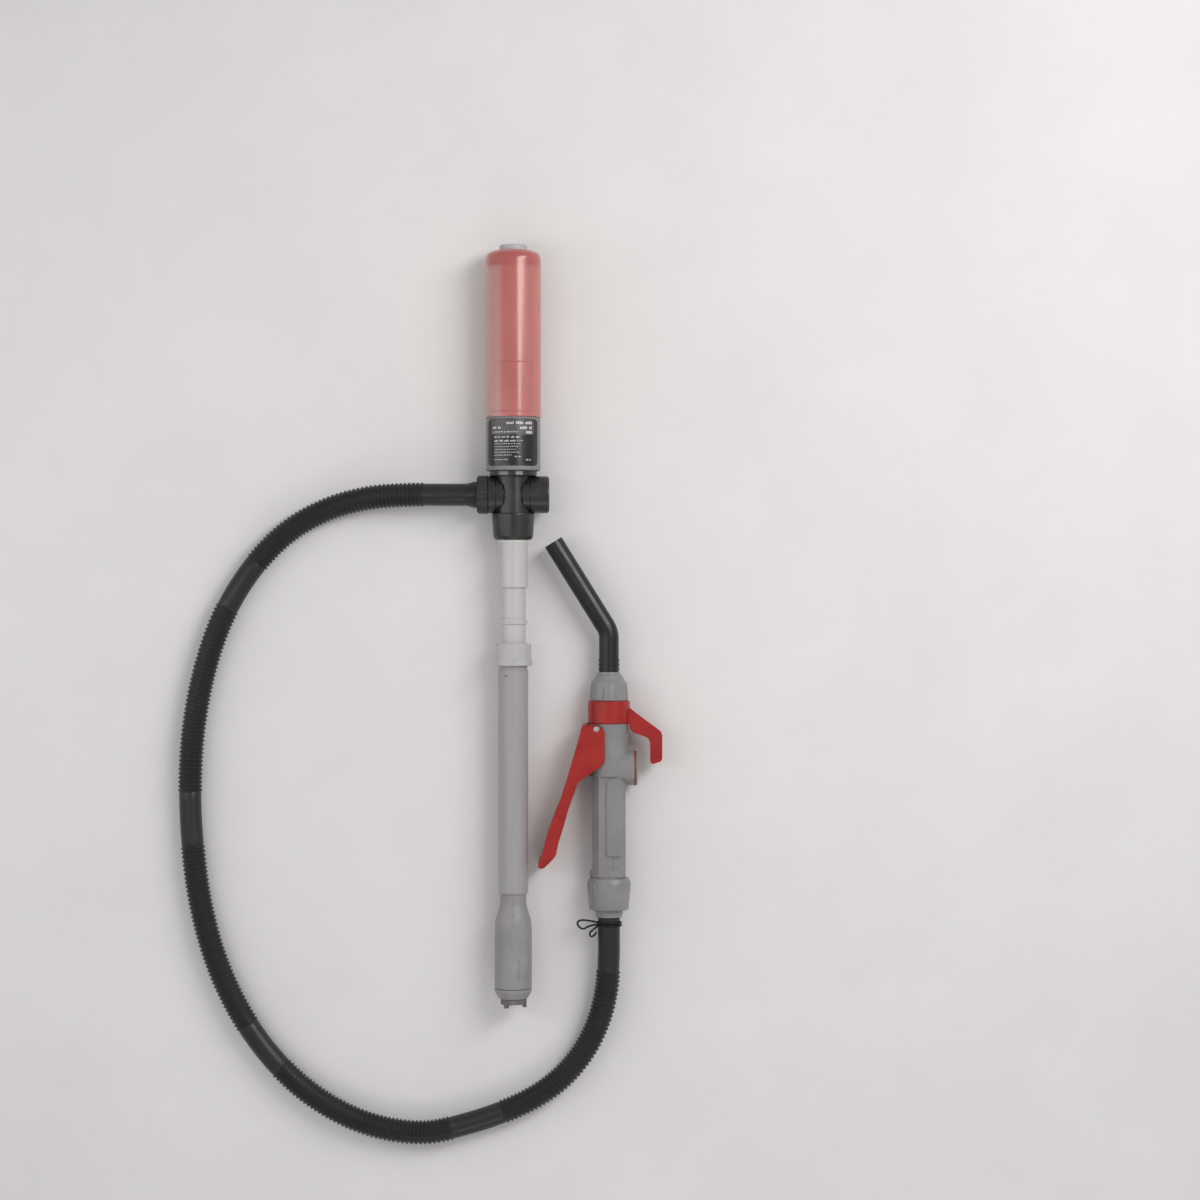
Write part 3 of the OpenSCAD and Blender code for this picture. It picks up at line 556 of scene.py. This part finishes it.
def hosePath():
    # points of the route's smooth curve in metres, with the length run so far at each
    route = [Vector((pumpX + u * mm, topY - s * mm, z * mm)) for u, s, z in hose["route"]]
    points = [smoothPoint(route, i, k / hose["stepsPerLeg"])
              for i in range(len(route) - 1) for k in range(hose["stepsPerLeg"])] + [route[-1]]
    run = [0.0]
    for a, b in zip(points, points[1:]):
        run.append(run[-1] + (b - a).length)
    return points, run


def hoseProfile(total):
    # [radius, distance] outline of the straight hose in millimetres
    cuffRun = (total - hose["ribRuns"] * hose["ribRun"]) / (hose["ribRuns"] + 1)
    ribs = round(hose["ribRun"] / hose["pitch"])
    pitch = hose["ribRun"] / ribs
    soft, gap, steps = hose["soft"], hose["cuffGap"], hose["cuffSteps"]
    rib = [(0.14, hose["valley"]), (0.32, hose["crest"] - soft), (0.4, hose["crest"]),
           (0.6, hose["crest"]), (0.68, hose["crest"] - soft), (0.86, hose["valley"])]
    outline = [(hose["flare"], 0), (hose["flare"], 2.5), (hose["cuff"] + 0.3, hose["flareRun"] - 2)]
    start = 0
    for stretch in range(hose["ribRuns"] + 1):
        low = hose["flareRun"] if stretch == 0 else start + gap
        cuffEnd = start + cuffRun - gap
        outline += [(hose["cuff"], low + (cuffEnd - low) * k / steps) for k in range(steps + 1)]
        start += cuffRun
        if stretch < hose["ribRuns"]:
            outline += [(r, start + (n + t) * pitch) for n in range(ribs) for t, r in rib]
            start += hose["ribRun"]
    return outline


def hosePiece(material):
    points, run = hosePath()
    bm = spunPiece(hoseProfile(run[-1] / mm), steps=hose["sides"], closed=False)
    bmesh.ops.holes_fill(bm, edges=[e for e in bm.edges if e.is_boundary], sides=0)
    crest = bm.verts.layers.float.new("crest")
    along = headings(points)
    place = 0
    for vert in sorted(bm.verts, key=lambda v: v.co.z):
        vert[crest] = (Vector(vert.co[:2]).length - hose["valley"]) / (hose["crest"] - hose["valley"])
        reach = min(max(vert.co.z * mm, 0), run[-1])
        while place < len(run) - 2 and run[place + 1] < reach:
            place += 1
        t = (reach - run[place]) / (run[place + 1] - run[place])
        forward = along[place].lerp(along[place + 1], t).normalized()
        side = forward.cross(Vector((0, 0, 1))).normalized()
        up = side.cross(forward)
        vert.co = points[place].lerp(points[place + 1], t) + (side * vert.co.x + up * vert.co.y) * mm
    bmesh.ops.recalc_face_normals(bm, faces=bm.faces)
    piece = newPiece("corrugated_hose", bm, None, material, ["discharge_hose", "hose_return"])
    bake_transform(piece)


hosePiece(hoseBlack)
print("stage: hose made")


softened = {                 # node: (edge radius in millimetres, material)
    "lower_case": (0.35, caseGrey), "neck_ring": (0.4, black), "pump_head": (0.5, black),
    "port_ring": (0.5, black), "hose_nut": (0.35, black), "port_cap": (0.6, black),
    "tube_collar": (0.6, black), "tube_washer": (0.25, white), "tube_sleeve": (0.3, pale),
    "inner_tube": (0.3, pale), "stop_ring": (0.25, pale), "lock_collar": (0.4, paleMould),
    "lower_tube": (0.12, midGrey), "motor_housing": (0.35, housing), "housing_base": (0.3, housing),
    "strainer": (0.25, strainerGrey), "spout": (0.2, spoutBlack), "spout_nut": (0.5, nozzleGrey),
    "hook_collar": (0.8, red), "nozzle_body": (0.7, nozzleGrey), "front_panel": (0.5, nozzleGrey),
    "pivot_pin": (0.3, steel), "side_cap": (0.4, nozzleGrey), "side_cap_ring": (0.25, red),
    "inlet_nut": (0.5, nozzleGrey), "hose_ferrule": (0.3, nozzleGrey), "trigger": (0.8, red),
    "switch_button": (0.4, paleMould), "battery_cover": (0.3, clearRed),
}
kept = {                     # nodes that keep their CAD mesh and only get a material
    "battery_tray": trayPale, "battery_upper": jacket, "battery_lower": jacket, "return_strip": brass,
    "cover_seal": rubber, "head_lock_nut": white, "lead_gland": rubber, "hose_barb": brass,
    "pump_seals": rubber, "guide_ring": white, "nozzle_seals": rubber, "nozzle_barb": brass,
    "switch_carrier": carrierRed, "top_contact": brass, "carrier_screws": steel, "grip_ring": white,
    "motor_can": plated, "motor_magnets": magnet, "shaft_seal": rubber, "motor_shaft": steel,
    "impeller": white, "valve_stem": white, "case_label": film, "tray_spring": plated,
    "hose_clamp": wireBlack,
}
bodyOf = {n: body for body, names in frame["record"]["behaviour"]["bodies"].items() for n in names}


def paint(nodeName, material):
    mesh = frame["nodes"][nodeName].data
    mesh.materials.clear()
    mesh.materials.append(material)


def softenedCopy(nodeName, radius, material):
    bm = bmesh.new()
    bm.from_mesh(frame["nodes"][nodeName].data)
    bmesh.ops.remove_doubles(bm, verts=bm.verts, dist=seamGap)
    bmesh.ops.dissolve_limit(bm, angle_limit=math.radians(0.6), verts=bm.verts, edges=bm.edges,
                             use_dissolve_boundaries=False, delimit=set())
    bevelSharp(bm, radius * mm)
    piece = newPiece(nodeName + "_skin", bm, bodyOf[nodeName], material, [nodeName],
                     sharp=50)
    weighted = piece.modifiers.new("flatFaces", "WEIGHTED_NORMAL")  # broad faces stay flat to the bevel
    weighted.keep_sharp = True
    return piece


for nodeName, (radius, material) in softened.items():
    softenedCopy(nodeName, radius, material)
for nodeName, material in kept.items():
    paint(nodeName, material)
print("stage: CAD nodes finished")


springs = {                   # node: (axis it lies on, its two bodies from the low end up, turns)
    "button_spring": (1, ("battery_cover", "switch_button"), 2),
    "valve_spring": (0, ("valve_stem", "root"), 4),
}
springWire = 0.3 * mm
stepsPerTurn = 20


def springPiece(nodeName, axis, turns):
    # a coil in the node's own box, between the two pieces that squeeze it
    low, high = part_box(nodeName)
    middle = (low + high) / 2
    across = [k for k in range(3) if k != axis]
    radius = (high[across[0]] - low[across[0]]) / 2 - springWire
    steps = turns * stepsPerTurn
    points = []
    for i in range(steps + 1):
        point = middle.copy()
        angle = math.tau * turns * i / steps
        point[across[0]] += radius * math.cos(angle)
        point[across[1]] += radius * math.sin(angle)
        point[axis] = low[axis] + springWire + (high[axis] - low[axis] - 2 * springWire) * i / steps
        points.append(point)
    bm = bmesh.new()
    sweptWire(bm, points, springWire, sides=8)
    piece = newPiece(nodeName + "_coil", bm, None, plated, [nodeName])
    start, end = middle.copy(), middle.copy()
    start[axis], end[axis] = low[axis], high[axis]
    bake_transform(piece)


def motorLead():
    # the lead between the head's gland and the motor, copied from its CAD mesh
    bm = bmesh.new()
    bm.from_mesh(frame["nodes"]["motor_cable"].data)
    bmesh.ops.remove_doubles(bm, verts=bm.verts, dist=seamGap)
    lead = newPiece("motor_lead", bm, None, rubber, ["motor_cable"])
    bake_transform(lead)


for nodeName, (axis, bodies, turns) in springs.items():
    springPiece(nodeName, axis, turns)
motorLead()
print("stage: springs and lead made")


def flatPad(x1, x2, s1, s2, corner, thick, slices=1, cornerSteps=5):
    # a rounded rectangle in millimetres: X across, Z along the axis, thickness towards +Y
    bm = bmesh.new()
    place = Matrix.Translation(((x1 + x2) / 2, 0, (s1 + s2) / 2)) @ Matrix.Rotation(math.radians(90), 4, "X")
    size = Matrix.Diagonal(((x2 - x1) / 2, (s2 - s1) / 2, 1, 1))
    bmesh.ops.create_grid(bm, x_segments=1, y_segments=1, size=1, matrix=place @ size)
    bmesh.ops.bevel(bm, geom=bm.verts[:], offset=corner, offset_type="OFFSET", segments=cornerSteps,
                    profile=0.5, affect="VERTICES", material=-1, clamp_overlap=True)
    for k in range(1, slices):
        x = x1 + (x2 - x1) * k / slices
        bmesh.ops.bisect_plane(bm, geom=bm.verts[:] + bm.edges[:] + bm.faces[:], dist=0.0001,
                               plane_co=(x, 0, 0), plane_no=(1, 0, 0))
    top = bmesh.ops.extrude_face_region(bm, geom=bm.faces[:])["geom"]
    bmesh.ops.translate(bm, vec=(0, thick, 0), verts=[g for g in top if isinstance(g, bmesh.types.BMVert)])
    bmesh.ops.recalc_face_normals(bm, faces=bm.faces)
    return bm


def wrap(bm, radius):
    # bends a flat pad round the axis: X becomes arc length, Y the height above the radius
    for vert in bm.verts:
        angle = vert.co.x / radius
        high = radius + vert.co.y
        vert.co.x, vert.co.y = high * math.sin(angle), high * math.cos(angle)


def joined(parts):
    # several bmeshes in one
    whole = bmesh.new()
    for bm in parts:
        mesh = bpy.data.meshes.new("part")
        bm.to_mesh(mesh)
        bm.free()
        whole.from_mesh(mesh)
        bpy.data.meshes.remove(mesh)
    return whole


label = {                         # millimetres: stations down from the switch, X across the front
    "radius": 21.25, "film": 0.36, "low": 137, "half": 19.4, "bandEnd": 149.5,
    "bandInset": 0.4, "bandCorner": 2, "bandThick": 0.03, "bandSlices": 24, "ink": 0.04,
    "letterGap": 0.35, "wordGap": 1.1, "seed": 7,
    # rows of generic print: (from, to, station, height of the marks, longest word)
    "rows": [(-4.5, 16.5, 139.2, 2.1, 7), (-17, -9.5, 143, 1.9, 5), (6, 16.5, 143, 2.1, 6),
             (-17, 4, 146.8, 1, 4), (11, 16.5, 146.6, 1.9, 6), (-15.5, -2.5, 150.6, 1.2, 6),
             (-1, 6.5, 150.6, 1.5, 5), (-15.5, 4.5, 153.6, 1.3, 6), (5.5, 9, 153.8, 0.7, 3),
             (-15.5, 7, 156.2, 0.7, 4), (-15.5, 5, 158.4, 0.7, 4), (-15.5, 3.5, 160.6, 0.7, 4),
             (-15.5, 6, 162.8, 0.7, 4), (-15.5, -0.5, 165, 0.7, 4), (-15.5, -3, 168.4, 0.8, 4),
             (2, 7, 166, 1, 5), (11, 16.5, 168.4, 1, 5)],
}


def printedMarks(rows):
    # short strokes in words of uneven length, which read as print and say nothing
    strokes = []
    for x1, x2, s, high, word in rows:
        x = x1
        while x < x2 - 0.5:
            end = min(x + random.uniform(0.5, 1) * word * high * 0.55, x2)
            while x < end - 0.25:
                wide = min(high * random.uniform(0.35, 0.6), end - x)
                low = s + high * random.choice((0, 0, 0.25))
                strokes.append((x, x + wide, low, s + high))
                x += wide + label["letterGap"] * high * 0.6
            x += label["wordGap"] * high * 0.7
    return strokes


def labelPieces():
    random.seed(label["seed"])
    outer = label["radius"] + label["film"]
    inset = label["bandInset"]
    half = label["half"] - inset
    band = flatPad(-half, half, label["low"] + inset, label["bandEnd"], label["bandCorner"],
                   label["bandThick"], label["bandSlices"])
    wrap(band, outer)
    band.transform(onPump)
    newPiece("label_band", band, "root", bandGrey)
    marks = []
    for x1, x2, s1, s2 in printedMarks(label["rows"]):
        mark = bmesh.new()
        bmesh.ops.create_cube(mark, size=1, matrix=Matrix.Translation(((x1 + x2) / 2, 0, (s1 + s2) / 2))
                              @ Matrix.Diagonal((x2 - x1, label["ink"], s2 - s1, 1)))
        wrap(mark, outer + label["ink"])
        marks.append(mark)
    ink = joined(marks)
    ink.transform(onPump)
    newPiece("label_marks", ink, "root", inkPale)


coverPanel = {                    # raised frame and marks moulded into the battery cover, in millimetres
    "radius": 21.75, "half": 17.3, "low": 92.5, "high": 131, "corner": 4.5, "bead": 0.42,
    "marks": [(-11, -6.4, 98.5, 101), (-4.6, 4.6, 98.5, 101), (6.4, 11, 98.5, 101),
              (-11, 11, 104.5, 105.6), (-11, 7, 107.6, 108.7), (-11, 11, 110.7, 111.8),
              (-11, 3, 113.8, 114.9)],
}


def coverPanelPiece():
    bm = bmesh.new()
    half, corner = coverPanel["half"], coverPanel["corner"]
    corners = [(half, coverPanel["high"], 0), (-half, coverPanel["high"], 90),
               (-half, coverPanel["low"], 180), (half, coverPanel["low"], 270)]
    outline = []
    for x, s, turn in corners:
        cx, cs = x - math.copysign(corner, x), s - math.copysign(corner, s - (coverPanel["low"] + 1))
        outline += arcPoints(cx, cs, corner, turn, turn + 90, 6)
    flat = []
    for (xa, sa), (xb, sb) in zip(outline, outline[1:] + outline[:1]):
        steps = max(1, int(math.dist((xa, sa), (xb, sb)) / 2))
        flat += [(xa + (xb - xa) * k / steps, sa + (sb - sa) * k / steps) for k in range(steps)]
    path = [(coverPanel["radius"] * math.sin(x / coverPanel["radius"]),
             coverPanel["radius"] * math.cos(x / coverPanel["radius"]), s) for x, s in flat]
    sweptWire(bm, path, coverPanel["bead"], sides=8, loop=True)
    parts = [bm]
    for x1, x2, s1, s2 in coverPanel["marks"]:
        mark = flatPad(x1, x2, s1, s2, 0.5, 0.32, max(2, int((x2 - x1) / 1.5)), 3)
        wrap(mark, coverPanel["radius"] - 0.06)
        parts.append(mark)
    whole = joined(parts)
    whole.transform(onPump)
    newPiece("cover_emboss", whole, "battery_cover", clearRed)


smallPads = {                     # name: (x1, x2, s1, s2, corner, radius, height, body, material, slot)
    # painted highlights: pale grey pads on the black neck ring stand for softbox reflections
    "neck_highlight_left": (-11, -3.5, 177.9, 180.6, 0.3, 18.45, 0.12, "root", caseGrey, "head_black"),
    "neck_highlight_right": (2.5, 8, 177.9, 180.6, 0.3, 18.45, 0.12, "root", caseGrey, "head_black"),
}


def smallPadPieces():
    for name, (x1, x2, s1, s2, corner, radius, height, body, material, slot) in smallPads.items():
        pad = flatPad(x1, x2, s1, s2, corner, height, 5, 3)
        wrap(pad, radius)
        pad.transform(onPump)
        newPiece(name, pad, body, material)


clip = {                          # wire hose clip, millimetres on the nozzle's axis
    "wire": 0.75, "ring": 9.75, "top": 531.2, "bottom": 533.4,
    "ears": [[(-10, 531), (-15, 530), (-21, 529.4), (-24.2, 530.6), (-24.6, 532.8), (-22.6, 535.4),
              (-19.6, 536.2), (-16.4, 534.6), (-12.6, 533.4), (-10, 533.2)],
             [(-9, 534.4), (-12, 536.6), (-14.4, 538.8), (-15, 541), (-13.6, 542.4), (-11.6, 541.4),
              (-9.6, 538.8)]],
}


def smoothLoop(points, steps=5):
    # denser points on a smooth open curve
    route = [Vector(p) for p in points]
    curve = [smoothPoint(route, i, k / steps) for i in range(len(route) - 1) for k in range(steps)]
    return curve + [route[-1]]


def hoseClipPiece():
    bm = bmesh.new()
    for s in (clip["top"], clip["bottom"]):
        circle = [(x, y, s) for x, y in arcPoints(0, 0, clip["ring"], 0, 360, 48)[:-1]]
        sweptWire(bm, circle, clip["wire"], loop=True)
    for ear in clip["ears"]:
        sweptWire(bm, smoothLoop([(u, 0, s) for u, s in ear]), clip["wire"])
    bm.transform(onNozzle)
    newPiece("wire_clip", bm, "root", wireBlack, ["hose_clamp"])


labelPieces()
coverPanelPiece()
smallPadPieces()
hoseClipPiece()
print("stage: small pieces made")


stage = {"floor": 40.0, "drop": 0.0004, "world": 0.55}
softLights = {               # name: (place in metres, across and along in metres, watts)
    "keyLight": ((0.75, 0.55, 1.05), (0.4, 0.9), 9),
    "stripLight": ((-0.85, 0.1, 0.8), (0.2, 1.5), 2.6),
    "lowLight": ((0.1, -1.25, 0.9), (0.9, 0.4), 2),
}


def addStage():
    bm = bmesh.new()
    bmesh.ops.create_grid(bm, x_segments=1, y_segments=1, size=stage["floor"] / 2,
                          matrix=Matrix.Translation((0, 0, -stage["drop"])))
    floor = newPiece("floor", bm, None, floorPaper)
    for name, (spot, (across, along), watts) in softLights.items():
        data = bpy.data.lights.new(name, "AREA")
        data.shape = "RECTANGLE"
        data.size = across
        data.size_y = along
        data.energy = watts
        light = bpy.data.objects.new(name, data)
        light.location = spot
        light.rotation_euler = (Vector((0, 0, 0)) - Vector(spot)).to_track_quat("-Z", "Y").to_euler()
        bpy.context.scene.collection.objects.link(light)
    world = bpy.data.worlds.new("softWhite")
    bpy.context.scene.world = world
    world.use_nodes = True
    sky = world.node_tree.nodes["Background"]
    sky.inputs["Color"].default_value = linearColour("#f4f3f1")
    sky.inputs["Strength"].default_value = stage["world"]


addStage()
bpy.context.scene.view_settings.view_transform = "Standard"
